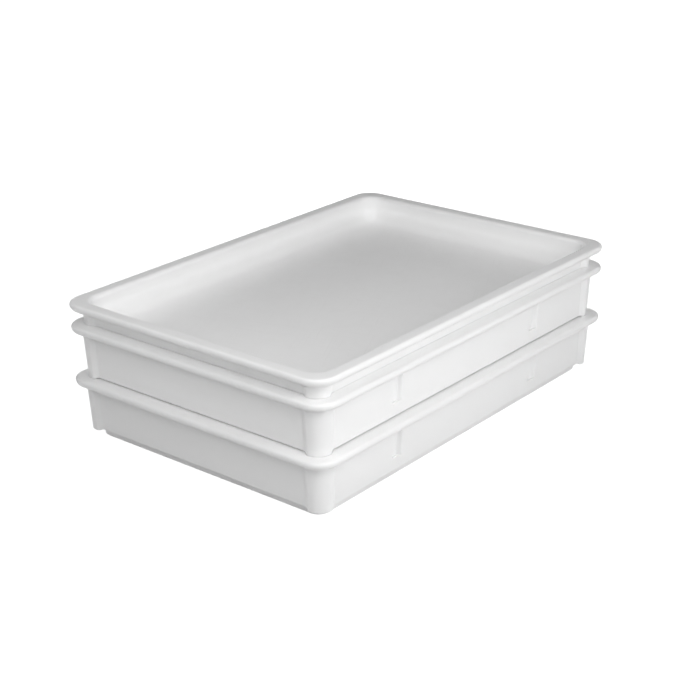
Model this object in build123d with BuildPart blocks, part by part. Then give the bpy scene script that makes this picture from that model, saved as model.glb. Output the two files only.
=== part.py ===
from build123d import *
import math
import os

os.makedirs("parts", exist_ok=True)

# A bakery dough box of 18 by 26 inches, measured over the rim. The origin is under the middle of the stack.
INCH = 25.4
LENGTH = 26 * INCH
WIDTH = 18 * INCH

# Heights: what each piece adds to the stack, and how deep its skirt drops into the piece below.
BOX_PITCH = 77.0
LID_PITCH = 32.0
NEST_DEPTH = 11.5

# Rim: a flat-topped flange with a rounded nose, bevelled along its lower edge.
RIM_HEIGHT = 12.0
RIM_CORNER = 30.0
NOSE_ROUND = 4.0
NOSE_BEVEL = 1.8

# Hollow of boxes and lid. Its top edge is broken by a small bevel in the boxes and well rounded in the lid,
# whose opening is a little wider and whose floor turns up more gently.
BOX_OPENING_INSET = 25.5
LID_OPENING_INSET = 22.0
OPENING_DRAFT = 1.9
BOX_MOUTH_BEVEL = 2.0
LID_MOUTH_ROUND = 6.0
FLOOR_THICKNESS = 4.5
BOX_FLOOR_ROUND = 20.0
LID_FLOOR_ROUND = 23.0
CORNER_OVER_FLOOR = 1.5

# Outer walls with a proud post at each corner. Insets are taken at the stacking ledge.
POST_INSET = 16.0
POST_BULGE = 4.7
POST_REACH = 21.0
POST_CORNER = 19.0
POST_SLOPE = 30.0
CREASE_OUTER = 3.0
CREASE_TOP = 2.8
WALL_DRAFT = 3.2

# Only the posts stand on the rim below: between them the walls stop short and leave a slot above it.
BOX_SLOT = 1.8
LID_SLOT = 0.4
SLOT_OVERLAP = 5.0

# Skirt below the ledge, with room to spare inside the opening of the piece below.
SKIRT_GAP = 1.7
SKIRT_DRAFT = 6.0
SKIRT_BEVEL = 2.5

# Two upright grooves in each long wall, from the rim down to a foot that slopes inwards.
GROOVE_PLACE = 158.0
GROOVE_WIDTH = 18.5
GROOVE_DEPTH = 5.8
GROOVE_SLOPE = 62.0
GROOVE_FOOT = 21.0
GROOVE_FOOT_SLOPE = 25.0
GROOVE_ROUND = 2.5
CUT_MARGIN = 1.0

TOUCH = 0.01
LEAN = math.radians(WALL_DRAFT)
POST_HALF_X = LENGTH / 2 - POST_INSET
POST_HALF_Y = WIDTH / 2 - POST_INSET
WALL_HALF_Y = POST_HALF_Y - POST_BULGE
SKIRT_INSET = BOX_OPENING_INSET + SKIRT_GAP
SKIRT_CORNER = BOX_FLOOR_ROUND + CORNER_OVER_FLOOR - SKIRT_GAP
SKIRT_HALF_X = LENGTH / 2 - SKIRT_INSET
SKIRT_HALF_Y = WIDTH / 2 - SKIRT_INSET
SLOT_REACH = SKIRT_INSET - POST_INSET + CUT_MARGIN
GROOVE_RUN = 1 / math.tan(math.radians(GROOVE_SLOPE))
FOOT_TILT = math.radians(GROOVE_FOOT_SLOPE)
SLOT_START = POST_REACH + POST_BULGE / math.tan(math.radians(POST_SLOPE)) - SLOT_OVERLAP


def borders(vertex):
    """How many sides of the post rectangle a corner of the wall outline lies on."""
    on_end = abs(abs(vertex.X) - POST_HALF_X) < TOUCH
    on_side = abs(abs(vertex.Y) - POST_HALF_Y) < TOUCH
    return on_end + on_side


def rim(top):
    """The flange with its rounded nose, still solid, its upper face at the given height."""
    with BuildPart() as flange:
        with BuildSketch(Plane.XY.offset(top - RIM_HEIGHT)):
            RectangleRounded(LENGTH, WIDTH, RIM_CORNER)
        extrude(amount=RIM_HEIGHT)
        fillet(flange.faces().sort_by(Axis.Z)[-1].edges(), NOSE_ROUND)
        chamfer(flange.faces().sort_by(Axis.Z)[0].edges(), NOSE_BEVEL)
    return flange.part


def skirt():
    """The stepped-in foot below the ledge, still solid, standing on z = 0."""
    with BuildPart() as foot:
        with BuildSketch(Plane.XY.offset(NEST_DEPTH)):
            RectangleRounded(2 * SKIRT_HALF_X, 2 * SKIRT_HALF_Y, SKIRT_CORNER)
        extrude(amount=-NEST_DEPTH, taper=SKIRT_DRAFT)
        chamfer(foot.faces().sort_by(Axis.Z)[0].edges(), SKIRT_BEVEL)
    return foot.part


def slots(height):
    """What is cut away under the four walls between the posts, up to the given height above the ledge."""
    with BuildPart() as cut:
        with BuildSketch(Plane.XY.offset(NEST_DEPTH - CUT_MARGIN)):
            with Locations((0, SKIRT_HALF_Y + SLOT_REACH / 2), (0, -SKIRT_HALF_Y - SLOT_REACH / 2)):
                Rectangle(2 * (POST_HALF_X - SLOT_START), SLOT_REACH)
            with Locations((SKIRT_HALF_X + SLOT_REACH / 2, 0), (-SKIRT_HALF_X - SLOT_REACH / 2, 0)):
                Rectangle(SLOT_REACH, 2 * (POST_HALF_Y - SLOT_START))
        extrude(amount=CUT_MARGIN + height)
    return cut.part


def grooves(side, height):
    """What is cut out of one long wall for its two grooves, along the wall's lean, over the given height."""
    mouth_half = GROOVE_WIDTH / 2 + CUT_MARGIN * GROOVE_RUN
    root_half = GROOVE_WIDTH / 2 - GROOVE_DEPTH * GROOVE_RUN
    outside = -CUT_MARGIN / math.cos(FOOT_TILT)
    inside = GROOVE_DEPTH / math.cos(FOOT_TILT)
    foot = Plane(origin=(0, side * (WALL_HALF_Y + GROOVE_FOOT * math.tan(LEAN)), NEST_DEPTH + GROOVE_FOOT),
                 x_dir=(-side, 0, 0),
                 z_dir=(0, side * math.sin(LEAN - FOOT_TILT), math.cos(LEAN - FOOT_TILT)))
    with BuildPart() as cut:
        with BuildSketch(foot):
            with BuildLine():
                Polyline((GROOVE_PLACE - mouth_half, outside), (GROOVE_PLACE - root_half, inside),
                         (GROOVE_PLACE + root_half, inside), (GROOVE_PLACE + mouth_half, outside), close=True)
            make_face()
            mirror(about=Plane.YZ)
        extrude(amount=height, dir=(0, side * math.sin(LEAN), math.cos(LEAN)))
    return cut.part


def hollow(top, inset, floor_round):
    """The room inside a tray whose rim is at the given height, drafted, its floor edge well rounded."""
    with BuildPart() as room:
        with BuildSketch(Plane.XY.offset(top)):
            RectangleRounded(LENGTH - 2 * inset, WIDTH - 2 * inset, floor_round + CORNER_OVER_FLOOR)
        extrude(amount=FLOOR_THICKNESS - top, taper=OPENING_DRAFT)
        fillet(room.faces().sort_by(Axis.Z)[0].edges(), floor_round)
    return room.part


def tray(pitch, slot, inset, floor_round, grooved):
    """A one-piece tray standing on z = 0: skirt, ledge, walls with corner posts, rim and hollow."""
    rim_top = NEST_DEPTH + pitch
    wall_height = pitch - RIM_HEIGHT
    # The draft tightens the inner creases on the way up, so they start that much rounder at the ledge.
    crease_inner = CREASE_TOP + wall_height * math.tan(LEAN)
    with BuildPart() as body:
        with BuildSketch(Plane.XY.offset(NEST_DEPTH)) as outline:
            Rectangle(2 * POST_HALF_X, 2 * POST_HALF_Y)
            with Locations(Location((0, -POST_HALF_Y), 0), Location((0, POST_HALF_Y), 180)):
                Trapezoid(2 * (POST_HALF_X - POST_REACH), POST_BULGE, POST_SLOPE,
                          align=(Align.CENTER, Align.MIN), mode=Mode.SUBTRACT)
            with Locations(Location((POST_HALF_X, 0), 90), Location((-POST_HALF_X, 0), -90)):
                Trapezoid(2 * (POST_HALF_Y - POST_REACH), POST_BULGE, POST_SLOPE,
                          align=(Align.CENTER, Align.MIN), mode=Mode.SUBTRACT)
            for meets, radius in ((0, crease_inner), (1, CREASE_OUTER), (2, POST_CORNER)):
                fillet([v for v in outline.vertices() if borders(v) == meets], radius)
        extrude(amount=wall_height, taper=-WALL_DRAFT)
        add(slots(slot), mode=Mode.SUBTRACT)
        if grooved:
            for side in (-1, 1):
                add(grooves(side, pitch), mode=Mode.SUBTRACT)
                upright = body.edges(Select.LAST).filter_by(lambda edge: edge.bounding_box().size.X < TOUCH)
                fillet(upright, GROOVE_ROUND)
        add(rim(rim_top))
        add(skirt())
        add(hollow(rim_top, inset, floor_round), mode=Mode.SUBTRACT)
    return body.part


def mouth(body):
    """The edges round the top of a tray's hollow."""
    return body.faces().sort_by(Axis.Z)[-1].inner_wires()[0].edges()


with BuildPart() as lower_box:
    add(tray(BOX_PITCH, BOX_SLOT, BOX_OPENING_INSET, BOX_FLOOR_ROUND, True))
    chamfer(mouth(lower_box), BOX_MOUTH_BEVEL)
lower_box.part.label = "lower_box"
export_step(lower_box.part, "parts/lower_box.step")

with BuildPart() as upper_box:
    with Locations((0, 0, BOX_PITCH)):
        add(lower_box.part)
upper_box.part.label = "upper_box"
export_step(upper_box.part, "parts/upper_box.step")

with BuildPart() as lid:
    with Locations((0, 0, 2 * BOX_PITCH)):
        add(tray(LID_PITCH, LID_SLOT, LID_OPENING_INSET, LID_FLOOR_ROUND, False))
    fillet(mouth(lid), LID_MOUTH_ROUND)
lid.part.label = "lid"
export_step(lid.part, "parts/lid.step")
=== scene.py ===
import math

import bpy
from mathutils import Matrix, Vector


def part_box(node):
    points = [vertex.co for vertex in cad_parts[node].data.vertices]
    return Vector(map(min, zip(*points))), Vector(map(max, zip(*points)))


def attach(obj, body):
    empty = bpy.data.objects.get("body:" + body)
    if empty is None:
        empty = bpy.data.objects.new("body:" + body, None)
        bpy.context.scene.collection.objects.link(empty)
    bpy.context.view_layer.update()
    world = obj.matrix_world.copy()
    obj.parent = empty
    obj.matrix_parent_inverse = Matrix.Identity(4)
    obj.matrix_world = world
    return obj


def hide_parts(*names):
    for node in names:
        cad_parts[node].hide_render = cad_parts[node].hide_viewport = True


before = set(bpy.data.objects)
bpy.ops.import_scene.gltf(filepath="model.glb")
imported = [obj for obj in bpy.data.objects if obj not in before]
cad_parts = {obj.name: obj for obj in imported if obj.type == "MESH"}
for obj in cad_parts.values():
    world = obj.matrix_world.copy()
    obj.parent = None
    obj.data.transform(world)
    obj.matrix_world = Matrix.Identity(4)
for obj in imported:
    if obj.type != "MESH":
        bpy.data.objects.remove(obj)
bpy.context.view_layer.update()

# Lengths are in metres and angles in degrees. The sensor is in millimetres, and the focal length in pixels.

# Camera: fitted to the rims, ledges and corners in the photograph.
IMAGE_SIZE = 680.0
SENSOR = 36.0
FOCAL_PIXELS = 1526.63
AZIMUTH = -50.213
ELEVATION = 21.905
ROLL = -0.868
DISTANCE = 2.18595
AIM_SIDEWAYS = -0.01206
AIM_HEIGHT = 0.09228
FARTHEST_SEEN = 100.0

# Lights: name, azimuth and elevation as seen from the stack, distance, width, height, power, and whether it
# shows as a reflection. All of them point at one height above the middle of the stack's foot.
LIGHTS = (
    ("key", -25.0, 30.0, 1.3, 0.8, 0.8, 5.6, True),
    ("left_fill", -90.0, 38.0, 1.3, 0.8, 0.8, 4.95, True),
    ("right_fill", 0.0, 32.0, 1.3, 0.8, 0.8, 2.3, True),
    ("low_fill", 0.0, 10.0, 1.3, 0.8, 0.4, 2.25, True),
    ("top_fill", 0.0, 88.0, 1.4, 1.0, 1.0, 2.45, True),
    ("rear_fill", 135.0, 6.0, 1.7, 1.2, 0.5, 18.0, False),
)
LIT_HEIGHT = 0.1

# Surroundings: the strength of the light from all round, and what the camera and reflections see instead:
# white up to a little above the horizon, and a darker studio overhead. Heights are sines of elevations.
AMBIENT = 0.12
SKY = 0.2
SKY_FROM = 0.06
SKY_TO = 0.16

# Floor: its side, the share of light that it sends back, and the light that it adds where it is seen, which
# grows with the distance from the stack, so that it turns white and keeps the stack's shadow.
FLOOR_SIZE = 24.0
FLOOR_ALBEDO = 0.6
FLOOR_LIFT = 0.82
FLOOR_LIFT_FAR = 1.0
FLOOR_NEAR = 0.6
FLOOR_FAR = 1.8

# Rim: its corner radius and height, where the lower round of its nose starts, the bevel that it replaces, how
# far it tucks in and drops, the power of its curve, and the rows of faces in it.
RIM_CORNER = 0.030
RIM_HEIGHT = 0.012
NOSE_SHOULDER = 0.004
NOSE_BEVEL = 0.0018
NOSE_TUCK = 0.0070
NOSE_CURVE = 2.4
NOSE_DROP = 0.0005
NOSE_STEPS = 10

# What counts as the same place, the digits that tell two places apart, and the Z of a normal that faces down.
TOUCH = 0.0001
PLACE_DIGITS = 5
FACING_DOWN = -0.9

# Plastic: how far light spreads below its skin, and the radius that softens its edges, with its samples.
SCATTER_DEPTH = 0.002
EDGE_RADIUS = 0.0012
EDGE_SAMPLES = 6

# The darkest and lightest white in the mottle of each plastic. The lid's white is set lighter than the boxes'
# white for the same plastic, which is painted light that lifts the shade inside the lid and in its crevices.
WHITES = {"box_plastic": (0.948, 0.960), "lid_plastic": (0.966, 0.978)}

# Noise in the plastic: features per metre and detail. Scratches also have a stretch along each axis, and a
# turn of those axes about Z.
MOTTLE = (11.0, 3.0)
LONG_SCRATCHES = (9.0, 2.0, (1.0, 0.012, 1.0), 28.0)
CROSS_SCRATCHES = (8.0, 2.0, (0.010, 1.0, 1.0), 17.0)
RUBS = (35.0, 5.0)
SHEEN = (60.0, 4.0)
WAVES = (7.0, 1.0)
GRAIN = (1100.0, 2.0)

# The noise levels between which each mark fades in.
MOTTLE_FADE = (0.35, 0.65)
SCRATCH_FADE = (0.66, 0.70)
RUB_FADE = (0.52, 0.68)
SHEEN_FADE = (0.3, 0.7)

# The Z of a surface's normal over which it turns level, and over which a round starts and ends.
LEVEL_FADE = (0.9, 0.99)
ROUND_FADE_IN = (0.04, 0.16)
ROUND_FADE_OUT = (0.85, 0.985)

# The grey and strength of rubs and scratches, the range of roughness, and what rubs and rounds add to it.
RUB_GREY = 0.93
RUB_STRENGTH = 0.35
SCRATCH_GREY = 0.90
SCRATCH_STRENGTH = 0.5
ROUGHNESS = (0.285, 0.345)
RUB_ROUGHNESS = 0.08
ROUND_ROUGHNESS = 0.3

# How high the waves and the grain stand, and how deep the scratches are cut.
WAVE_HEIGHT = 0.0003
GRAIN_HEIGHT = 0.000008
SCRATCH_DEPTH = 0.00003


def grey(level):
    return (level, level, level, 1.0)


def direction(azimuth, elevation):
    """Unit vector from the stack towards a place. Azimuth 0 lies along -Y and 90 along +X."""
    a, e = math.radians(azimuth), math.radians(elevation)
    return Vector((math.sin(a) * math.cos(e), -math.cos(a) * math.cos(e), math.sin(e)))


def add_camera():
    back = direction(AZIMUTH, ELEVATION)
    a = math.radians(AZIMUTH)
    right = Vector((math.cos(a), math.sin(a), 0.0))
    up = back.cross(right)
    aim = right * AIM_SIDEWAYS + Vector((0.0, 0.0, AIM_HEIGHT))
    r = math.radians(ROLL)
    x_axis = right * math.cos(r) + up * math.sin(r)
    y_axis = up * math.cos(r) - right * math.sin(r)
    place = aim + back * DISTANCE
    data = bpy.data.cameras.new("camera")
    data.sensor_width = SENSOR
    data.lens = SENSOR * FOCAL_PIXELS / IMAGE_SIZE
    data.clip_end = FARTHEST_SEEN
    camera = bpy.data.objects.new("camera", data)
    camera.matrix_world = Matrix((
        (x_axis.x, y_axis.x, back.x, place.x),
        (x_axis.y, y_axis.y, back.y, place.y),
        (x_axis.z, y_axis.z, back.z, place.z),
        (0.0, 0.0, 0.0, 1.0),
    ))
    bpy.context.scene.collection.objects.link(camera)
    bpy.context.scene.camera = camera


def add_light(name, azimuth, elevation, distance, width, height, power, reflected):
    data = bpy.data.lights.new(name, "AREA")
    data.shape = "RECTANGLE"
    data.size = width
    data.size_y = height
    data.energy = power
    light = bpy.data.objects.new(name, data)
    middle = Vector((0.0, 0.0, LIT_HEIGHT))
    way = direction(azimuth, elevation)
    light.visible_camera = False
    light.visible_glossy = reflected
    light.location = middle + way * distance
    light.rotation_euler = way.to_track_quat("Z", "Y").to_euler()
    bpy.context.scene.collection.objects.link(light)


def set_ranges(node, low, high, out_low, out_high):
    """Set the two ranges of a Map Range node."""
    sockets = ("From Min", "From Max", "To Min", "To Max")
    for socket, number in zip(sockets, (low, high, out_low, out_high)):
        node.inputs[socket].default_value = number


def seen_directly(nodes, links):
    """A socket that is 1 for rays from the camera, a reflection or a see-through surface, and else 0."""
    path = nodes.new("ShaderNodeLightPath")
    first = nodes.new("ShaderNodeMath")
    first.operation = "MAXIMUM"
    links.new(path.outputs["Is Camera Ray"], first.inputs[0])
    links.new(path.outputs["Is Glossy Ray"], first.inputs[1])
    second = nodes.new("ShaderNodeMath")
    second.operation = "MAXIMUM"
    links.new(first.outputs[0], second.inputs[0])
    links.new(path.outputs["Is Transmission Ray"], second.inputs[1])
    return second.outputs[0]


def add_world():
    world = bpy.data.worlds.new("studio")
    world.use_nodes = True
    nodes, links = world.node_tree.nodes, world.node_tree.links
    nodes.clear()
    lit = nodes.new("ShaderNodeBackground")
    lit.inputs["Strength"].default_value = AMBIENT
    shown = nodes.new("ShaderNodeBackground")
    way = nodes.new("ShaderNodeSeparateXYZ")
    links.new(nodes.new("ShaderNodeTexCoord").outputs["Generated"], way.inputs[0])
    fade = nodes.new("ShaderNodeMapRange")
    set_ranges(fade, SKY_FROM, SKY_TO, 1.0, SKY)
    links.new(way.outputs["Z"], fade.inputs["Value"])
    links.new(fade.outputs["Result"], shown.inputs["Strength"])
    for node in (lit, shown):
        node.inputs["Color"].default_value = grey(1.0)
    mix = nodes.new("ShaderNodeMixShader")
    links.new(seen_directly(nodes, links), mix.inputs["Fac"])
    links.new(lit.outputs[0], mix.inputs[1])
    links.new(shown.outputs[0], mix.inputs[2])
    out = nodes.new("ShaderNodeOutputWorld")
    links.new(mix.outputs[0], out.inputs["Surface"])
    bpy.context.scene.world = world


def floor_white():
    """The floor's material: a light grey towards the stack, and lifted to white where it is seen."""
    material = bpy.data.materials.new("floor_white")
    material.use_nodes = True
    nodes, links = material.node_tree.nodes, material.node_tree.links
    nodes.clear()
    diffuse = nodes.new("ShaderNodeBsdfDiffuse")
    diffuse.inputs["Color"].default_value = grey(FLOOR_ALBEDO)
    lift = nodes.new("ShaderNodeEmission")
    lift.inputs["Color"].default_value = grey(1.0)
    away = nodes.new("ShaderNodeVectorMath")
    away.operation = "LENGTH"
    links.new(nodes.new("ShaderNodeNewGeometry").outputs["Position"], away.inputs[0])
    rise = nodes.new("ShaderNodeMapRange")
    rise.interpolation_type = "SMOOTHSTEP"
    set_ranges(rise, FLOOR_NEAR, FLOOR_FAR, FLOOR_LIFT, FLOOR_LIFT_FAR)
    links.new(away.outputs["Value"], rise.inputs["Value"])
    scale = nodes.new("ShaderNodeMath")
    scale.operation = "MULTIPLY"
    links.new(seen_directly(nodes, links), scale.inputs[0])
    links.new(rise.outputs["Result"], scale.inputs[1])
    links.new(scale.outputs[0], lift.inputs["Strength"])
    both = nodes.new("ShaderNodeAddShader")
    links.new(diffuse.outputs[0], both.inputs[0])
    links.new(lift.outputs[0], both.inputs[1])
    out = nodes.new("ShaderNodeOutputMaterial")
    links.new(both.outputs[0], out.inputs["Surface"])
    return material


def add_floor():
    mesh = bpy.data.meshes.new("floor")
    h = FLOOR_SIZE / 2
    mesh.from_pydata([(-h, -h, 0), (h, -h, 0), (h, h, 0), (-h, h, 0)], [], [(0, 1, 2, 3)])
    floor = bpy.data.objects.new("floor", mesh)
    bpy.context.scene.collection.objects.link(floor)
    floor.data.materials.append(floor_white())


def outward(point, core):
    """The rim's outward direction at a point, and how far inside the rim's outline the point lies."""
    off = Vector((max(abs(point.x) - core.x, 0.0), max(abs(point.y) - core.y, 0.0), 0.0))
    inset = RIM_CORNER - off.length
    if off.length:
        off.normalize()
    return Vector((math.copysign(off.x, point.x), math.copysign(off.y, point.y), 0.0)), inset


def full_nose(node):
    """The mesh of a node, with the flat face and bevel of its rim's nose made into one soft round."""
    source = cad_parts[node].data
    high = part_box(node)[1]
    core = high - Vector((RIM_CORNER, RIM_CORNER, 0.0))
    shoulder, under = high.z - NOSE_SHOULDER, high.z - RIM_HEIGHT
    normals = [None] * len(source.vertices)
    for loop, corner in zip(source.loops, source.corner_normals):
        normals[loop.vertex_index] = corner.vector.copy()
    points = [vertex.co.copy() for vertex in source.vertices]
    ways, insets = zip(*(outward(point, core) for point in points))
    nose = [inset < NOSE_BEVEL + TOUCH and under - TOUCH < point.z < shoulder + TOUCH
            for point, inset in zip(points, insets)]

    # Leave out the faces of the old nose, and keep the ring of points along its shoulder.
    faces, ring = [], {}
    for polygon in source.polygons:
        corners = list(polygon.vertices)
        heights = [points[i].z for i in corners]
        if all(nose[i] for i in corners) and max(heights) - min(heights) > TOUCH:
            ring.update(((round(points[i].x, PLACE_DIGITS), round(points[i].y, PLACE_DIGITS)), i)
                        for i in corners if abs(points[i].z - shoulder) < TOUCH)
        else:
            faces.append(corners)

    # Draw the outer edge of the rim's underside in to the foot of the new nose.
    for i, point in enumerate(points):
        if nose[i] and point.z < under + TOUCH and normals[i].z < FACING_DOWN:
            points[i] = point - ways[i] * (NOSE_TUCK - insets[i])
            points[i].z -= NOSE_DROP

    # Add the new nose in rows from the shoulder down.
    ring = sorted(ring.values(), key=lambda i: math.atan2(points[i].y, points[i].x))
    drop = shoulder - under + NOSE_DROP
    rows = []
    for step in range(NOSE_STEPS + 1):
        share = step / NOSE_STEPS
        tuck = NOSE_TUCK * share ** NOSE_CURVE
        lean = NOSE_TUCK * NOSE_CURVE * share ** (NOSE_CURVE - 1) / drop
        rows.append(range(len(points), len(points) + len(ring)))
        for i in ring:
            points.append(points[i] - ways[i] * tuck - Vector((0.0, 0.0, drop * share)))
            normals.append((ways[i] - Vector((0.0, 0.0, lean))).normalized())
    for a, b in zip(rows, rows[1:]):
        for i in range(len(ring)):
            j = (i + 1) % len(ring)
            faces.append([a[i], b[i], b[j], a[j]])

    used = sorted({i for face in faces for i in face})
    place = {old: new for new, old in enumerate(used)}
    mesh = bpy.data.meshes.new(node + "_shell")
    mesh.from_pydata([points[i] for i in used], [], [[place[i] for i in face] for face in faces])
    mesh.shade_smooth()
    mesh.normals_split_custom_set_from_vertices([normals[i] for i in used])
    return mesh


class Graph:
    """A material's nodes, with short ways to add the few kinds that the plastic needs."""

    def __init__(self, name):
        self.material = bpy.data.materials.new(name)
        self.material.use_nodes = True
        self.nodes, self.links = self.material.node_tree.nodes, self.material.node_tree.links
        self.shader = self.nodes["Principled BSDF"]
        self.place = self.nodes.new("ShaderNodeTexCoord").outputs["Object"]

    def noise(self, scale, detail, stretch=None, turn=0.0):
        """Noise with features of about 1 / scale metres, stretched along axes that are turned about Z."""
        place = self.place
        if stretch:
            mapping = self.nodes.new("ShaderNodeMapping")
            mapping.vector_type = "TEXTURE"
            mapping.inputs["Scale"].default_value = stretch
            mapping.inputs["Rotation"].default_value = (0.0, 0.0, math.radians(turn))
            self.links.new(place, mapping.inputs["Vector"])
            place = mapping.outputs["Vector"]
        node = self.nodes.new("ShaderNodeTexNoise")
        node.inputs["Scale"].default_value = scale
        node.inputs["Detail"].default_value = detail
        self.links.new(place, node.inputs["Vector"])
        return node.outputs["Fac"]

    def span(self, value, fade, low=0.0, high=1.0):
        """A value moved from the range of its fade to another one, and held at the ends."""
        node = self.nodes.new("ShaderNodeMapRange")
        set_ranges(node, *fade, low, high)
        self.links.new(value, node.inputs["Value"])
        return node.outputs["Result"]

    def math(self, operation, first, second):
        """A sum, product or the like of two values, of which each is a number or a socket."""
        node = self.nodes.new("ShaderNodeMath")
        node.operation = operation
        for socket, value in zip(node.inputs, (first, second)):
            if isinstance(value, float):
                socket.default_value = value
            else:
                self.links.new(value, socket)
        return node.outputs["Value"]

    def mix(self, factor, first, second):
        """A colour between two, of which each is a colour or a socket."""
        node = self.nodes.new("ShaderNodeMix")
        node.data_type = "RGBA"
        self.links.new(factor, node.inputs["Factor"])
        for name, value in (("A_Color", first), ("B_Color", second)):
            socket = next(s for s in node.inputs if s.identifier == name)
            if isinstance(value, tuple):
                socket.default_value = value
            else:
                self.links.new(value, socket)
        return next(s for s in node.outputs if s.identifier == "Result_Color")

    def bump(self, height, depth, normal):
        """A bump of the given depth on top of another one."""
        node = self.nodes.new("ShaderNodeBump")
        node.inputs["Strength"].default_value = 1.0
        node.inputs["Distance"].default_value = depth
        self.links.new(height, node.inputs["Height"])
        self.links.new(normal, node.inputs["Normal"])
        return node.outputs["Normal"]


def plastic(name, dark, light):
    """White satin polypropylene: light spreads a little below its skin, which has a fine moulded grain, slow
    waves from cooling, an uneven gloss that is duller on rounds, and faint scratches and rub marks where it
    is level."""
    g = Graph(name)
    g.shader.inputs["Subsurface Weight"].default_value = 1.0
    g.shader.inputs["Subsurface Radius"].default_value = (1.0, 1.0, 1.0)
    g.shader.inputs["Subsurface Scale"].default_value = SCATTER_DEPTH

    geometry = g.nodes.new("ShaderNodeNewGeometry")
    facing = g.nodes.new("ShaderNodeSeparateXYZ")
    g.links.new(geometry.outputs["Normal"], facing.inputs[0])
    upward = facing.outputs["Z"]
    level = g.span(upward, LEVEL_FADE)

    mottle = g.noise(*MOTTLE)
    streaks = g.math("MAXIMUM", g.noise(*LONG_SCRATCHES), g.noise(*CROSS_SCRATCHES))
    scratches = g.math("MULTIPLY", g.span(streaks, SCRATCH_FADE), level)
    rubbed = g.math("MULTIPLY", g.span(g.noise(*RUBS), RUB_FADE), level)

    white = g.mix(g.span(mottle, MOTTLE_FADE), grey(dark), grey(light))
    worn = g.mix(g.math("MULTIPLY", rubbed, RUB_STRENGTH), white, grey(RUB_GREY))
    marked = g.mix(g.math("MULTIPLY", scratches, SCRATCH_STRENGTH), worn, grey(SCRATCH_GREY))
    g.links.new(marked, g.shader.inputs["Base Color"])

    sheen = g.span(g.noise(*SHEEN), SHEEN_FADE, *ROUGHNESS)
    dulled = g.math("ADD", sheen, g.math("MULTIPLY", rubbed, RUB_ROUGHNESS))
    leaning = g.span(upward, ROUND_FADE_IN)
    rounds = g.math("MULTIPLY", leaning, g.span(upward, ROUND_FADE_OUT, 1.0, 0.0))
    softened = g.math("ADD", dulled, g.math("MULTIPLY", rounds, ROUND_ROUGHNESS))
    g.links.new(softened, g.shader.inputs["Roughness"])

    edge = g.nodes.new("ShaderNodeBevel")
    edge.samples = EDGE_SAMPLES
    edge.inputs["Radius"].default_value = EDGE_RADIUS
    waves = g.bump(g.noise(*WAVES), WAVE_HEIGHT, edge.outputs["Normal"])
    grain = g.bump(g.noise(*GRAIN), GRAIN_HEIGHT, waves)
    cut = g.bump(scratches, -SCRATCH_DEPTH, grain)
    g.links.new(cut, g.shader.inputs["Normal"])
    return g.material


plastics = {slot: plastic("scene_" + slot, *whites) for slot, whites in WHITES.items()}
for node, slot in (("lower_box", "box_plastic"), ("upper_box", "box_plastic"), ("lid", "lid_plastic")):
    piece = bpy.data.objects.new(node + "_shell", full_nose(node))
    bpy.context.scene.collection.objects.link(piece)
    piece.data.materials.append(plastics[slot])
    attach(piece, node)
    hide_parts(node)

add_floor()
add_world()
for light in LIGHTS:
    add_light(*light)
add_camera()
bpy.context.scene.view_settings.view_transform = "Standard"
